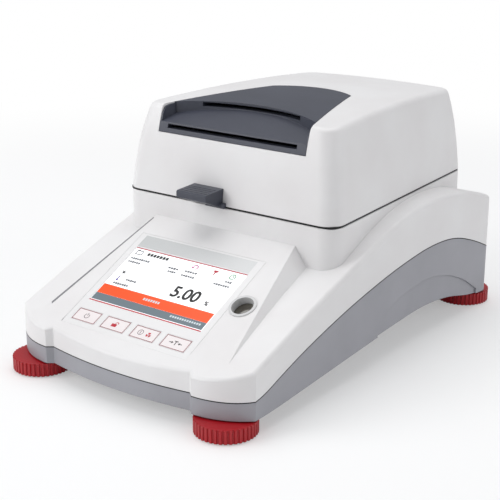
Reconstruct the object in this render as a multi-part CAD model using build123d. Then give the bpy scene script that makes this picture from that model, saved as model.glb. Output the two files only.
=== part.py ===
"""Bench moisture analyzer: a halogen drying lid hinged over a weighing chamber,
with a sloping touch panel in front and four levelling feet.

Millimetres, +Z up, front towards -Y. The origin is on the bench, midway
between the four feet. Every sub-part is written to parts/NAME.step.
"""
import os
from math import cos, pi, radians, sin, tan

from build123d import *

# Whole instrument
SIDE_X = 104.5            # side faces of the housing, from the middle
FRONT_Y = -171.0          # middle of the curved front wall
REAR_Y = 163.0            # rear wall
WALL = 3.0                # moulded walls of both housing shells
SEAM_GAP = 0.3            # running gap between neighbouring mouldings
REAR_CORNER_R = 12.0

# Front corner lobes over the front feet
LOBE_X = 66.0             # inner edge of a lobe
LOBE_PROUD = 3.5          # step from the front wall out to the lobe
LOBE_END_Y = -152.0       # where the lobe meets the side face
FRONT_WALL_X = 62.0
FRONT_WALL_DROP = 6.0     # how far the front arc falls back at its ends

# Side view: top ridge, colour seam, and the arch under the base, as (y, z)
RIDGE = [(-180, 31.5), (-152, 44.2), (-89, 68.4), (10, 101.0),
         (50, 107.4), (95, 106.8), (135, 99.0), (175, 84)]
SEAM = [(-180, 23.6), (-150, 23.2), (-108, 39), (-52, 54.9), (10, 67),
        (60, 72.5), (98, 70.6), (135, 58.5), (175, 40)]
ARCH = [(-180, 11.4), (-142, 11.0), (-87, 15.6), (0, 22.9), (55, 26.4), (95, 23), (135, 12.4), (175, 11.4)]
CREASE = [(-10, 27), (-3, 37), (14, 43.4), (58, 48.6), (90, 42.5), (118, 31), (140, 17)]
CREASE_DEPTH = 1.6        # side below the crease is set back
CURVE_SHARE = 0.48        # how much of the shorter run an arc of a side curve takes
FOOT_ROOM = 0.3           # housing above a wheel that is turned all the way up
RIDGE_R = 3.0             # rounding along the ridge

# Sloping control panel on its raised island
PANEL_ANGLE = 26.94
PANEL_Y = -136.4          # front edge of the display
PANEL_Z = 51.9
PANEL_REAR_Y = -52.0
PANEL_BORDER = 17.8       # crest beyond the level's ring, at the front wall
PANEL_TAPER = 26.0        # how much narrower each side of the crest is at the chamber
ISLAND_DROP = 14.0
ISLAND_FLARE = 10.0
PANEL_LIP_R = 7.0

# Display, overlay and keys, measured in the panel plane
SCREEN_W = 102.0
SCREEN_H = 57.2
SCREEN_X = -4.0           # middle of the display
GLASS_T = 1.2
LCD_T = 5.0
LCD_RIM = 4.0
OVERLAY_T = 0.6
OVERLAY_MARGIN = 5.5
OVERLAY_TOP = 14.0        # overlay above the display
OVERLAY_BOTTOM = 24.0     # overlay below the display
KEY_W = 21.3
KEY_H = 10.7
KEY_PITCH = 27.0
KEY_NAMES = ["power", "lock", "stop", "tare"]
KEY_BELOW = 14.0          # key row's middle below the display's edge
KEY_CLEAR = 0.25
KEY_TRAVEL = 0.5
KEY_T = 1.4
KEY_STEM_R = 2.0

# Bubble level beside the display
LEVEL_GAP = 1.9           # between the display's frame and the level's tube
LEVEL_UP = 29.6           # up the panel from the display's front edge
LEVEL_R = 7.8
LEVEL_RING_W = 1.9
LEVEL_RING_T = 0.7
LEVEL_FLANGE = 2.0
LEVEL_SINK = 5.0          # glass below the panel
LEVEL_H = 8.0
LEVEL_TUBE_T = 0.8

# Drying chamber and lid, a rounded trapezoid in plan
PART_Z = 110.0            # parting plane of the lid
LID_GAP = 1.6
LID_FRONT_Y = -54.4
LID_REAR_Y = 157.6
LID_FRONT_X = 95.5
LID_REAR_X = 77.2
LID_CORNER_R = 12.5
LID_H = 69.0              # crown above the parting plane
LID_TOP_Z = PART_Z + LID_H
LID_LEAN_X = 9.4          # how far the sides lean in, parting to top
LID_LEAN_FRONT = 12.6
LID_LEAN_REAR = 8.5
LID_LEAN_H = 64.0
CROWN_R = 1500.0
LID_EDGE_R = 5.0
LID_WALL = 2.5

# Vent grille let into the top of the lid
VENT_FRONT_X = 66.0
VENT_REAR_X = 36.0
VENT_BEND_Y = -40.0
VENT_REAR_Y = 53.0
VENT_BULGE = 12.0
VENT_DROP = 23.6          # lower edge of the vent below the crown
VENT_T = 6.0
VENT_PLATE_T = 2.5        # sloped plate and the riser behind it
VENT_STEP_Y = -15.0       # middle of the curved step
VENT_STEP_FALL = 19.0     # how far the step's ends come forward
VENT_STEP_H = 6.5         # scoop below the crown, at the step
VENT_SCOOP_H = 15.0       # scoop below the crown, at the front
VENT_SLOT_H = 3.0         # air slots in the step and in the front wall
VENT_SLOT_UP = 3.2        # front slot above the lower edge
VENT_SIDE = 8.0           # solid border at each side of a slot
VENT_SEAM = 0.3

# Lid handle
HANDLE_X = -14.0
HANDLE_W = 27.0
HANDLE_REACH = 18.5
HANDLE_TIP_T = 5.0
HANDLE_TIP_UP = 7.0       # underside of the tip above the parting plane
HANDLE_ROOT_T = 13.5
HANDLE_LATCH_T = 2.6
HANDLE_LATCH_W = 3.5      # latch block showing at one side

# Weighing chamber
PAN_Y = 50.0
PAN_R = 45.0
PAN_DEPTH = 6.5
PAN_WALL = 0.8
PAN_DROP = 9.5            # pan's underside below the parting plane
PAN_Z = PART_Z - PAN_DROP
TRAY_T = 1.5
TRAY_LEDGE = 3.0
TRAY_PLUG = 3.5
TRAY_RIM = 6.0
WELL_R = 66.0
WELL_DEPTH = 17.0
WELL_FLOOR_Z = PART_Z - WELL_DEPTH
WELL_T = 2.0
STEM_HOLE_R = 9.0
STEM_R = 4.0
SUPPORT_ARM = 32.0
SUPPORT_ARM_W = 6.0
SUPPORT_T = 2.0
SHIELD_R = 62.0
SHIELD_BORE_CLEAR = 3.0   # round the arms of the pan support
SHIELD_T = 1.5
HANDLER_WIDTH = 4.0
HANDLER_T = 1.6
GRIP_W = 14.0
GRIP_REACH = 11.0
LIFT_CLEAR = 0.3

# Heater in the lid
LINER_UP = 16.0           # inner cover above the parting plane
LINER_Z = PART_Z + LINER_UP
LINER_T = 1.5
GLASS_R = 50.0
GLASS_PANE_T = 3.0
RETAINER_T = 2.0
REFLECTOR_R = 58.0
REFLECTOR_AIR = 24.0      # air between the reflector and the lid's top wall
REFLECTOR_T = 1.0
LAMP_R = 34.0
LAMP_TUBE_R = 4.5
LAMP_GAP_ANGLE = 50.0

# Lid hinge
HINGE_BACK = 5.9          # axis behind the lid's rear edge
HINGE_DROP = 2.5          # axis below the parting plane
HINGE_Y = LID_REAR_Y + HINGE_BACK
HINGE_Z = PART_Z - HINGE_DROP
HINGE_X = 46.0
BARREL_R = 4.5
PIN_R = 2.0
PIN_FIT = 0.02
PIN_RUN = 0.05
KNUCKLE_W = 20.0
EAR_W = 7.0
EAR_GAP = 0.4

# Levelling feet
FOOT_X = 84.0
FOOT_Y = 156.0
FOOT_R = 21.0
FOOT_TOP = 10.2
FOOT_RAISE = 0.5          # how far a foot can be turned up from its rest height
FOOT_BOTTOM = 0.8
FOOT_RIBS = 40
FOOT_RIB_DEPTH = 0.9
PAD_R = 16.0
PAD_T = 3.5
PAD_PIN_R = 2.0
STUD_R = 4.0
STUD_TOP = 28.0
STUD_FLANGE_R = 8.0
STUD_FLANGE_T = 2.0
BOSS_R = 8.0
BOSS_TOP = 22.5
RUN_CLEAR = 0.05
SEAT_CLEAR = 0.3

# Inside the base
CHASSIS_Z = 32.0
CHASSIS_T = 2.0
CHASSIS_X = 78.0
CHASSIS_FRONT = -70.0
CHASSIS_REAR = 138.0
POST_R = 5.0
CELL_W = 30.0
CELL_L = 120.0
CELL_H = 26.0
CELL_LIFT = 6.0
PCB_T = 1.6
STANDOFF_R = 3.0
STANDOFF_H = 8.0
DECK_EDGE = 4.0           # electronics in from the chassis' sides, and twice that at its ends
BOARD_W = 52.0
BOARD_L = 124.0
BOARD_PARTS = [(8, 22, 14, 30, 14), (28, 72, 16, 16, 18)]   # x, y on the board, and sizes
SUPPLY_W = 52.0
SUPPLY_L = 90.0
SUPPLY_H = 34.0

# Rear connector panel
REAR_PANEL_GAP = 2.0      # between the panel and the foot bosses beside it
REAR_PANEL_RIM = 3.0      # panel behind the edge of its opening
REAR_PANEL_H = 24.0
REAR_PANEL_Z = 31.0
REAR_PANEL_T = 2.0
INLET_EDGE = 5.5
INLET_W = 27.0
INLET_H = 20.0
INLET_DEPTH = 18.0
INLET_WALL = 2.0
INLET_PIN_W = 2.0
INLET_PIN_PITCH = 7.0
PORT_GAP = 20.0           # between neighbouring connectors
SERIAL_W = 31.0
SERIAL_H = 12.5
SERIAL_MOUTH_W = 19.6
SERIAL_MOUTH_H = 9.6
SERIAL_DEPTH = 10.0
USB_W = 15.0
USB_H = 14.0
USB_DEPTH = 14.0
USB_MOUTH_W = 12.0
USB_MOUTH_H = 4.6
USB_PITCH = 6.4
PORT_PROUD = 1.0

# Screws and posts inside the housing
POST_X = 68.0
POST_YS = (-60.0, 128.0)
SCREW_X = 90.0
SCREW_YS = (-100.0, 20.0, 120.0)
SCREW_POST_R = 4.5
SCREW_R = 1.5
SCREW_HEAD_R = 3.0
SCREW_HEAD_T = 2.5
SCREW_BITE = 8.0
KEY_BOARD_DEPTH = 7.0
SWITCH_H = 1.2
HEAT_SHIELD_GAP = 4.2     # air under the well
HEAT_SHIELD_W = 144.0
SHIELD_POST_EDGE = 7.0    # posts in from the shield's edges
HEAT_SHIELD_T = 0.8
HEAT_SHIELD_Z = WELL_FLOOR_Z - WELL_T - HEAT_SHIELD_GAP - HEAT_SHIELD_T
STEM_BITE = 9.0
CELL_BORE_R = 8.0
CELL_BORE_PITCH = 36.0
CELL_SLOT_H = 10.0
CELL_FOOT_L = 28.0
CELL_STEM_EDGE = 13.0     # end of the cell behind the pan's middle

FAR = 400.0

# Places that follow from the sizes above
level_out = LEVEL_R + LEVEL_TUBE_T
level_x = SCREEN_X + SCREEN_W / 2 + LCD_RIM + LEVEL_GAP + level_out
rear_panel_w = 2 * (FOOT_X - BOSS_R - REAR_PANEL_GAP - REAR_PANEL_RIM)
inlet_x = -rear_panel_w / 2 + INLET_EDGE + INLET_W / 2
serial_x = inlet_x + INLET_W / 2 + PORT_GAP + SERIAL_W / 2
usb_x = serial_x + SERIAL_W / 2 + PORT_GAP + USB_W / 2

os.makedirs("parts", exist_ok=True)


def save(name, shape):
    shape.label = name
    export_step(shape, "parts/" + name + ".step")


def block(x0, x1, y0, y1, z0, z1):
    """Box between two corners."""
    middle = ((x0 + x1) / 2, (y0 + y1) / 2, (z0 + z1) / 2)
    return Pos(*middle) * Box(x1 - x0, y1 - y0, z1 - z0)


def rod(x, y, z0, z1, radius):
    """Upright cylinder."""
    return Pos(x, y, (z0 + z1) / 2) * Cylinder(radius, z1 - z0)


def cross_rod(x0, x1, y, z, radius):
    """Cylinder along X."""
    return Pos((x0 + x1) / 2, y, z) * Rot(0, 90, 0) * Cylinder(radius, x1 - x0)


def plan_face(inset):
    """Housing outline seen from above, moved in by a wall's thickness."""
    side = SIDE_X - inset
    front = FRONT_Y + inset
    arc_end = Vector(FRONT_WALL_X, front + FRONT_WALL_DROP)
    lobe = Vector(LOBE_X, front + FRONT_WALL_DROP - LOBE_PROUD)
    lobe_mid = Vector((LOBE_X + side) / 2 + 3, lobe.Y + 5)
    lobe_end = Vector(side, LOBE_END_Y + inset / 2)
    radius = REAR_CORNER_R - inset
    rear = REAR_Y - inset
    corner = Vector(side, rear - radius)
    corner_mid = Vector(side - radius * (1 - cos(pi / 4)), rear - radius * (1 - sin(pi / 4)))
    corner_end = Vector(side - radius, rear)
    half = [
        Line(arc_end, lobe),
        ThreePointArc(lobe, lobe_mid, lobe_end),
        Line(lobe_end, corner),
        ThreePointArc(corner, corner_mid, corner_end),
    ]
    other = [edge.mirror(Plane.YZ) for edge in half]
    left_end = Vector(-arc_end.X, arc_end.Y)
    front_arc = ThreePointArc(left_end, Vector(0, front), arc_end)
    back = Line(corner_end, Vector(-corner_end.X, rear))
    return Face(Wire([front_arc, back] + half + other))


def corner_radii(points):
    """The largest arcs that fit the corners of an open line of points."""
    radii = []
    for before, corner, after in zip(points, points[1:], points[2:]):
        turn = radians((corner - before).get_angle(after - corner))
        shorter = min((corner - before).length, (after - corner).length)
        radii.append(CURVE_SHARE * shorter / tan(turn / 2))
    return radii


def side_solid(curve, level, rise=0.0, half_width=FAR / 2):
    """Everything between a side-view curve and a level, right across the width."""
    points = [Vector(y, z + rise) for y, z in curve]
    first = points[0]
    last = points[-1]
    outline = Wire(FilletPolyline(*points, radius=corner_radii(points)).edges() + Polyline(
        last, (last.X, level), (first.X, level), first).edges())
    return extrude(Plane.YZ * Face(outline), amount=half_width, both=True)


def trapezoid(inset, lean, z):
    """Lid outline at one height: straight sides that narrow to the rear."""
    front_y = LID_FRONT_Y + LID_LEAN_FRONT * lean + inset
    rear_y = LID_REAR_Y - LID_LEAN_REAR * lean - inset
    taper = (LID_FRONT_X - LID_REAR_X) / (LID_REAR_Y - LID_FRONT_Y)
    front_x = LID_FRONT_X - LID_LEAN_X * lean - inset - taper * (front_y - LID_FRONT_Y)
    rear_x = front_x - taper * (rear_y - front_y)
    corners = [(-front_x, front_y), (front_x, front_y), (rear_x, rear_y), (-rear_x, rear_y)]
    outline = make_face(Polyline(*corners, close=True))
    outline = fillet(outline.vertices(), LID_CORNER_R - inset / 2)
    return Pos(0, 0, z) * outline


def panel_plane(up=0.0, x=0.0, out=0.0):
    """Plane on the panel: x across, y up the slope, z out of the panel."""
    tilt = radians(PANEL_ANGLE)
    y = PANEL_Y + up * cos(tilt) - out * sin(tilt)
    z = PANEL_Z + up * sin(tilt) + out * cos(tilt)
    return Plane(origin=(x, y, z), x_dir=(1, 0, 0), z_dir=(0, -sin(tilt), cos(tilt)))


def panel_box(x, up, width, height, low, high):
    """Box standing on the panel plane from depth low to high."""
    return panel_plane(up, x, (low + high) / 2) * Box(width, height, high - low)


def panel_rod(x, up, radius, low, high):
    """Cylinder square to the panel plane from depth low to high."""
    return panel_plane(up, x, (low + high) / 2) * Cylinder(radius, high - low)


def island(inset):
    """Raised wedge that carries the control panel."""
    rear_up = (PANEL_REAR_Y - PANEL_Y) / cos(radians(PANEL_ANGLE))
    front_up = (FRONT_Y - 10 - PANEL_Y) / cos(radians(PANEL_ANGLE))
    half_front = level_x + LEVEL_R + LEVEL_RING_W + PANEL_BORDER - inset
    half_rear = half_front - PANEL_TAPER
    crest = [(-half_front, front_up), (half_front, front_up), (half_rear, rear_up), (-half_rear, rear_up)]
    foot = [(x + (ISLAND_FLARE if x > 0 else -ISLAND_FLARE), up) for x, up in crest]
    top = panel_plane(out=-inset) * make_face(Polyline(*crest, close=True))
    low = panel_plane(out=-inset - ISLAND_DROP) * make_face(Polyline(*foot, close=True))
    skirt = extrude(low, amount=FAR / 4, dir=(0, 0, -1))
    return loft([low, top], ruled=True) + skirt


def chamber_block(inset, top):
    """Base of the drying chamber, from inside the body up to the parting plane."""
    low = trapezoid(inset, 0.0, PART_Z - 60)
    return extrude(low, amount=top - (PART_Z - 60))


def housing_form(inset):
    """The two housing shells as one solid, moved in by a wall's thickness."""
    plan = extrude(Pos(0, 0, -5) * plan_face(inset), amount=FAR / 2)
    flank = plan & side_solid(RIDGE, 0.0, rise=-inset)
    if inset == 0:
        top_edges = []
        for face in flank.faces():
            if face.normal_at().Z > 0.5:
                top_edges += face.edges()
        flank = fillet([edge for edge in top_edges if top_edges.count(edge) == 1], RIDGE_R)
    # the island stops at the front wall and under the chamber
    wedge = plan & island(inset) & block(-FAR, FAR, -FAR, LID_FRONT_Y + 20, 0, FAR)
    if inset == 0:
        rim = [edge for edge in wedge.edges() if on_front_rim(edge)]
        wedge = fillet(rim, PANEL_LIP_R)
    form = flank + wedge + chamber_block(inset, PART_Z - LID_GAP / 2 - inset)
    form -= side_solid(ARCH, -50.0, rise=inset)
    return form


def on_front_rim(edge):
    """The rounded edge between the panel and the front wall."""
    middle = edge.position_at(0.5)
    return middle.Y < FRONT_Y + 15 and middle.Z > SEAM[0][1] + 5 and edge.length > 60


def curve_z(curve, y):
    """Height of a side-view curve, straight between its points."""
    for (y0, z0), (y1, z1) in zip(curve, curve[1:]):
        if y0 <= y <= y1:
            return z0 + (z1 - z0) * (y - y0) / (y1 - y0)
    raise ValueError("outside the curve")


def floor_z(y):
    """Underside of the base."""
    return curve_z(ARCH, y)


def seam_z(y):
    """Colour seam of the side."""
    return curve_z(SEAM, y)


def lean_at(z):
    """How far the lid's sides have leaned in at a height, 0 at the parting, 1 near the top."""
    share = (z - PART_Z) / LID_LEAN_H
    return 0.55 * share + 0.45 * share ** 3


def lid_form(inset):
    """Lid with its barrel-shaped sides and crowned top, moved in by a wall's thickness."""
    low = PART_Z + LID_GAP / 2
    levels = [low + (LID_H + LID_EDGE_R) * step / 3 for step in range(4)]
    body = loft([trapezoid(inset, lean_at(z), z) for z in levels])
    crown = Pos(0, PAN_Y, LID_TOP_Z - inset - CROWN_R) * Sphere(CROWN_R)
    body = body & crown
    if inset == 0:
        crown_face = body.faces().sort_by(Axis.Z)[-1]
        body = fillet(crown_face.edges(), LID_EDGE_R)
    return body


def ring(x, y, z0, z1, outside, bore):
    """Flat ring or tube, upright."""
    return rod(x, y, z0, z1, outside) - rod(x, y, z0 - 1, z1 + 1, bore)


# Housing: two shells that meet at the colour seam
outer = housing_form(0.0)
inner = housing_form(WALL)
above_seam = side_solid(SEAM, FAR)
below_seam = side_solid(SEAM, -50.0, rise=-SEAM_GAP)
POSTS = [(x, y) for x in (-POST_X, POST_X) for y in POST_YS]
SCREWS = [(x, y) for x in (-SCREW_X, SCREW_X) for y in SCREW_YS]
FEET = [(x, y) for y in (-FOOT_Y, FOOT_Y) for x in (-FOOT_X, FOOT_X)]
FOOT_NAMES = ["front_left", "front_right", "rear_left", "rear_right"]
shell = outer - inner
for x, y in SCREWS:
    shell += rod(x, y, 5, PART_Z - 5, SCREW_POST_R) & outer
for x, y in POSTS:
    shell += rod(x, y, 5, CHASSIS_Z, POST_R) & outer
for x, y in FEET:
    shell += rod(x, y, 5, BOSS_TOP, BOSS_R) & outer
wheel_room_z = FOOT_TOP + FOOT_RAISE + FOOT_ROOM
for x, y in FEET:
    shell -= rod(x, y, 0, STUD_TOP + 8, STUD_R + RUN_CLEAR)
    shell -= rod(x, y, 0, wheel_room_z, FOOT_R + FOOT_ROOM)

upper = shell & above_seam
lower = shell & below_seam

# side below the crease is set back
set_back = side_solid(CREASE, 0.0)
for side in (-1, 1):
    left, right = sorted([side * (SIDE_X - CREASE_DEPTH), side * FAR])
    slab = block(left, right, CREASE[0][0], CREASE[-1][0], 0, PART_Z)
    lower -= slab & set_back

# housing screws come up through the floor into the upper shell's posts
screws = []
for x, y in SCREWS:
    head_z = floor_z(y) + SCREW_HEAD_T
    lower -= rod(x, y, 0, head_z, SCREW_HEAD_R + SEAT_CLEAR)
    tip = seam_z(y) + SCREW_BITE
    lower -= rod(x, y, 0, tip, SCREW_R + PIN_FIT)
    upper -= rod(x, y, 0, tip, SCREW_R + PIN_FIT)
    screw = rod(x, y, head_z - SCREW_HEAD_T, head_z, SCREW_HEAD_R)
    screw += rod(x, y, head_z, tip - 1, SCREW_R)
    screws.append(screw)

# rear opening for the connector panel
lower -= block(-rear_panel_w / 2, rear_panel_w / 2, REAR_Y - WALL - 1, REAR_Y + 1,
               REAR_PANEL_Z - REAR_PANEL_H / 2, REAR_PANEL_Z + REAR_PANEL_H / 2)

# chamber top: ledge and opening for the tray
deck_z = PART_Z - LID_GAP / 2
tray_seat = extrude(trapezoid(TRAY_RIM, 0.0, deck_z - TRAY_T), amount=20)
tray_hole = extrude(trapezoid(TRAY_RIM + TRAY_LEDGE, 0.0, deck_z - 12), amount=20)
upper -= tray_seat
upper -= tray_hole

# panel: pocket for the overlay, window for the display, holes for keys and level
middle_up = SCREEN_H / 2
overlay_h = SCREEN_H + OVERLAY_TOP + OVERLAY_BOTTOM
overlay_up = middle_up + (OVERLAY_TOP - OVERLAY_BOTTOM) / 2
overlay_w = SCREEN_W + 2 * OVERLAY_MARGIN
upper -= panel_box(SCREEN_X, overlay_up, overlay_w + 0.3, overlay_h + 0.3, -OVERLAY_T, 10)
upper -= panel_box(SCREEN_X, middle_up, SCREEN_W, SCREEN_H, -10, 10)
key_xs = [SCREEN_X + (k - 1.5) * KEY_PITCH for k in range(len(KEY_NAMES))]
key_room = KEY_T + KEY_TRAVEL + 0.2
for x in key_xs:
    upper -= panel_box(x, -KEY_BELOW, KEY_W + 2 * KEY_CLEAR, KEY_H + 2 * KEY_CLEAR, -key_room, 10)
    upper -= panel_rod(x, -KEY_BELOW, KEY_STEM_R + KEY_CLEAR, -10, 10)
upper -= panel_rod(level_x, LEVEL_UP, LEVEL_R + LEVEL_TUBE_T + RUN_CLEAR, -10, 10)

# posts that carry the key board behind the wall
key_post_x = 1.5 * KEY_PITCH + KEY_W / 2 + 3
for x in (SCREEN_X - key_post_x, SCREEN_X + key_post_x):
    upper += panel_rod(x, -KEY_BELOW, KEY_STEM_R, -KEY_BOARD_DEPTH, -WALL + 1)

# hinge ears stand out of the chamber's rear wall
EAR_XS = []
for x in (-HINGE_X, HINGE_X):
    for side in (-1, 1):
        EAR_XS.append(x + side * (KNUCKLE_W / 2 + EAR_GAP + EAR_W / 2))
ears = Part()
for x in EAR_XS:
    ear = cross_rod(x - EAR_W / 2, x + EAR_W / 2, HINGE_Y, HINGE_Z, BARREL_R)
    ear += block(x - EAR_W / 2, x + EAR_W / 2, LID_REAR_Y, HINGE_Y, HINGE_Z - BARREL_R * 2, HINGE_Z)
    ear -= cross_rod(x - EAR_W, x + EAR_W, HINGE_Y, HINGE_Z, PIN_R + PIN_FIT)
    ears += ear - outer
save("hinge_brackets", ears)
save("upper_housing", upper)
save("lower_housing", lower)
save("housing_screws", Compound(children=screws))

# Control panel pieces
overlay = panel_box(SCREEN_X, overlay_up, overlay_w, overlay_h, -OVERLAY_T, 0)
overlay -= panel_box(SCREEN_X, middle_up, SCREEN_W, SCREEN_H, -5, 5)
for x in key_xs:
    overlay -= panel_box(x, -KEY_BELOW, KEY_W + 2 * KEY_CLEAR, KEY_H + 2 * KEY_CLEAR, -5, 5)
save("control_overlay", overlay)
glass_front = -0.2
glass_rear = glass_front - GLASS_T
save("touch_glass", panel_box(SCREEN_X, middle_up, SCREEN_W - 0.4, SCREEN_H - 0.4, glass_rear, glass_front))
lcd = panel_box(SCREEN_X, middle_up, SCREEN_W - 1.0, SCREEN_H - 1.0, -WALL, glass_rear)
lcd += panel_box(SCREEN_X, middle_up, SCREEN_W + 2 * LCD_RIM, SCREEN_H + 2 * LCD_RIM, -WALL - LCD_T, -WALL)
save("lcd_module", lcd)
board = panel_box(SCREEN_X, middle_up, SCREEN_W, SCREEN_H, -WALL - LCD_T - PCB_T, -WALL - LCD_T)
save("display_board", board)
for name, x in zip(KEY_NAMES, key_xs):
    cap = panel_box(x, -KEY_BELOW, KEY_W, KEY_H, -KEY_T, 0.0)
    cap += panel_rod(x, -KEY_BELOW, KEY_STEM_R, -KEY_BOARD_DEPTH + SWITCH_H + KEY_TRAVEL + 0.2, -KEY_T)
    save("key_" + name, cap)
key_board = panel_box(SCREEN_X, -KEY_BELOW, 2 * key_post_x + 8, KEY_H,
                      -KEY_BOARD_DEPTH - PCB_T, -KEY_BOARD_DEPTH)
for x in key_xs:
    key_board += panel_box(x, -KEY_BELOW, 6, 6, -KEY_BOARD_DEPTH, -KEY_BOARD_DEPTH + SWITCH_H)
save("key_board", key_board)
vial = panel_rod(level_x, LEVEL_UP, level_out, -LEVEL_SINK - LEVEL_H, -LEVEL_SINK)
save("level_vial", vial)
level_ring = panel_rod(level_x, LEVEL_UP, LEVEL_R + LEVEL_RING_W, 0, LEVEL_RING_T)
level_ring += panel_rod(level_x, LEVEL_UP, level_out, -LEVEL_SINK, 0)
level_ring -= panel_rod(level_x, LEVEL_UP, LEVEL_R, -LEVEL_SINK - 1, LEVEL_RING_T + 1)
save("level_ring", level_ring)

# Lid
lid_outer = lid_form(0.0)
lid_inner = lid_form(LID_WALL)
lid_shell = lid_outer - lid_inner


def vent_region(grow, low):
    """Plan of the vent insert, standing from a height up through the lid's top."""
    front = [(-VENT_FRONT_X - grow, LID_FRONT_Y - 20), (VENT_FRONT_X + grow, LID_FRONT_Y - 20)]
    bend = (VENT_FRONT_X + grow, VENT_BEND_Y)
    rear = (VENT_REAR_X + grow, VENT_REAR_Y + grow)
    tip = (0, VENT_REAR_Y + VENT_BULGE + grow)
    edges = [
        Line(front[0], front[1]),
        Line(front[1], bend),
        Line(bend, rear),
        ThreePointArc(rear, tip, (-rear[0], rear[1])),
        Line((-rear[0], rear[1]), (-bend[0], bend[1])),
        Line((-bend[0], bend[1]), front[0]),
    ]
    return extrude(Pos(0, 0, low) * Face(Wire(edges)), amount=LID_TOP_Z + 20 - low)


def scoop_region(back):
    """Plan in front of the curved step, moved back by a wall's thickness."""
    side_y = step_end_y + back
    edges = [
        ThreePointArc((-step_x, side_y), (0, VENT_STEP_Y + back), (step_x, side_y)),
        Line((step_x, side_y), (step_x, front_cut)),
        Line((step_x, front_cut), (-step_x, front_cut)),
        Line((-step_x, front_cut), (-step_x, side_y)),
    ]
    return extrude(Pos(0, 0, vent_low) * Face(Wire(edges)), amount=2 * VENT_DROP, dir=(0, 0, 1))


def above_slope(drop):
    """Everything above the sloped plate, or above its underside."""
    front_z = scoop_z + slope * (front_cut - scoop_end_y) - drop
    rear_y = VENT_STEP_Y + 30
    rear_z = step_z + slope * 30 - drop
    sky_z = LID_TOP_Z + 20
    corners = [(front_cut, front_z), (rear_y, rear_z), (rear_y, sky_z), (front_cut, sky_z)]
    side = Plane.YZ * make_face(Polyline(*corners, close=True))
    return Pos(-step_x, 0, 0) * extrude(side, amount=2 * step_x)


# the front of the vent is scooped out down to a sloped plate, below a curved step
vent_low = LID_TOP_Z - VENT_DROP
front_cut = LID_FRONT_Y - 20
step_x = VENT_FRONT_X + 10
step_end_y = VENT_STEP_Y - VENT_STEP_FALL * (step_x / VENT_FRONT_X) ** 2
step_z = LID_TOP_Z - VENT_STEP_H
scoop_z = LID_TOP_Z - VENT_SCOOP_H
scoop_end_y = LID_FRONT_Y + LID_LEAN_FRONT
slope = (step_z - scoop_z) / (VENT_STEP_Y - scoop_end_y)
vent_hollow = lid_form(VENT_T) - (scoop_region(VENT_PLATE_T) & above_slope(VENT_PLATE_T))
vent = (lid_outer & vent_region(0.0, vent_low)) - vent_hollow - (scoop_region(0.0) & above_slope(0.0))
lid_shell -= vent_region(VENT_SEAM, vent_low - VENT_SEAM)
# air slot behind the step, opening down into the lid
air_x = VENT_REAR_X + VENT_SIDE
air_back = VENT_STEP_Y + VENT_STEP_FALL
air_low = step_z + 0.3
vent -= block(-air_x, air_x, VENT_STEP_Y - VENT_STEP_FALL, air_back, air_low, air_low + VENT_SLOT_H)
vent -= block(-air_x, air_x, VENT_STEP_Y + 6, air_back, vent_low, air_low + VENT_SLOT_H)
# air slot in the front wall, above the bottom lip
slot_x = VENT_FRONT_X - VENT_SIDE
slot_low = vent_low + VENT_SLOT_UP
vent -= block(-slot_x, slot_x, front_cut, VENT_STEP_Y - VENT_T, slot_low, slot_low + VENT_SLOT_H)
save("lid_shell", lid_shell)
save("lid_vent", vent)

# Handle: a wedge, thin at the tip and deep at the lid, with a latch block beside it
tip_y = LID_FRONT_Y - HANDLE_REACH
tip_z = PART_Z + HANDLE_TIP_UP
root_z = tip_z + HANDLE_TIP_T + 1.2
latch_y = LID_FRONT_Y - SEAM_GAP
root_y = LID_FRONT_Y + LID_WALL
wedge_line = [(tip_y, tip_z), (latch_y, root_z - HANDLE_ROOT_T), (root_y, root_z - HANDLE_ROOT_T / 2),
              (root_y, root_z), (tip_y + 1.0, tip_z + HANDLE_TIP_T), (tip_y, tip_z + HANDLE_TIP_T - 1.0)]
wedge_face = Plane.YZ * make_face(Polyline(*wedge_line, close=True))
handle = Pos(HANDLE_X - HANDLE_W / 2, 0, 0) * extrude(wedge_face, amount=HANDLE_W)
handle += block(HANDLE_X, HANDLE_X + HANDLE_W / 2 + HANDLE_LATCH_W, latch_y - HANDLE_LATCH_T, latch_y,
                root_z - HANDLE_ROOT_T, PART_Z + HANDLE_LATCH_W)
save("lid_handle", handle - lid_outer)

# Inner cover of the lid, with the glass, reflector and lamp above it
skirt_z = PART_Z + LID_GAP
liner_top = LINER_Z + LINER_T
liner_in = LID_WALL + SEAT_CLEAR
liner = loft([trapezoid(liner_in, lean_at(z), z) for z in (skirt_z, liner_top)], ruled=True)
liner -= loft([trapezoid(liner_in + LINER_T, lean_at(z), z) for z in (skirt_z - 1, LINER_Z)], ruled=True)
liner -= rod(0, PAN_Y, LINER_Z - 5, liner_top + 5, GLASS_R)
pane_top = liner_top + GLASS_PANE_T
pane_r = GLASS_R + 4
save("protective_glass", rod(0, PAN_Y, liner_top, pane_top, pane_r))
retainer = ring(0, PAN_Y, liner_top, pane_top + RETAINER_T, REFLECTOR_R, pane_r + SEAT_CLEAR)
retainer += ring(0, PAN_Y, pane_top, pane_top + RETAINER_T, pane_r + 1, GLASS_R + 1)
save("glass_retainer", retainer)
reflector_z = pane_top + RETAINER_T
reflector_top = LID_TOP_Z - LID_WALL - REFLECTOR_AIR
reflector_h = reflector_top - reflector_z
bowl = [(REFLECTOR_R, reflector_z), (REFLECTOR_R - 12, reflector_top), (0, reflector_top)]
hollow = [(0, reflector_top - REFLECTOR_T), (REFLECTOR_R - 13, reflector_top - REFLECTOR_T),
          (REFLECTOR_R - REFLECTOR_T - 0.3, reflector_z)]
profile = Plane.XZ * make_face(Polyline(*(bowl + hollow), close=True))
save("reflector", Pos(0, PAN_Y, 0) * revolve(profile, Axis.Z))
lamp_z = reflector_z + reflector_h / 2
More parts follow.
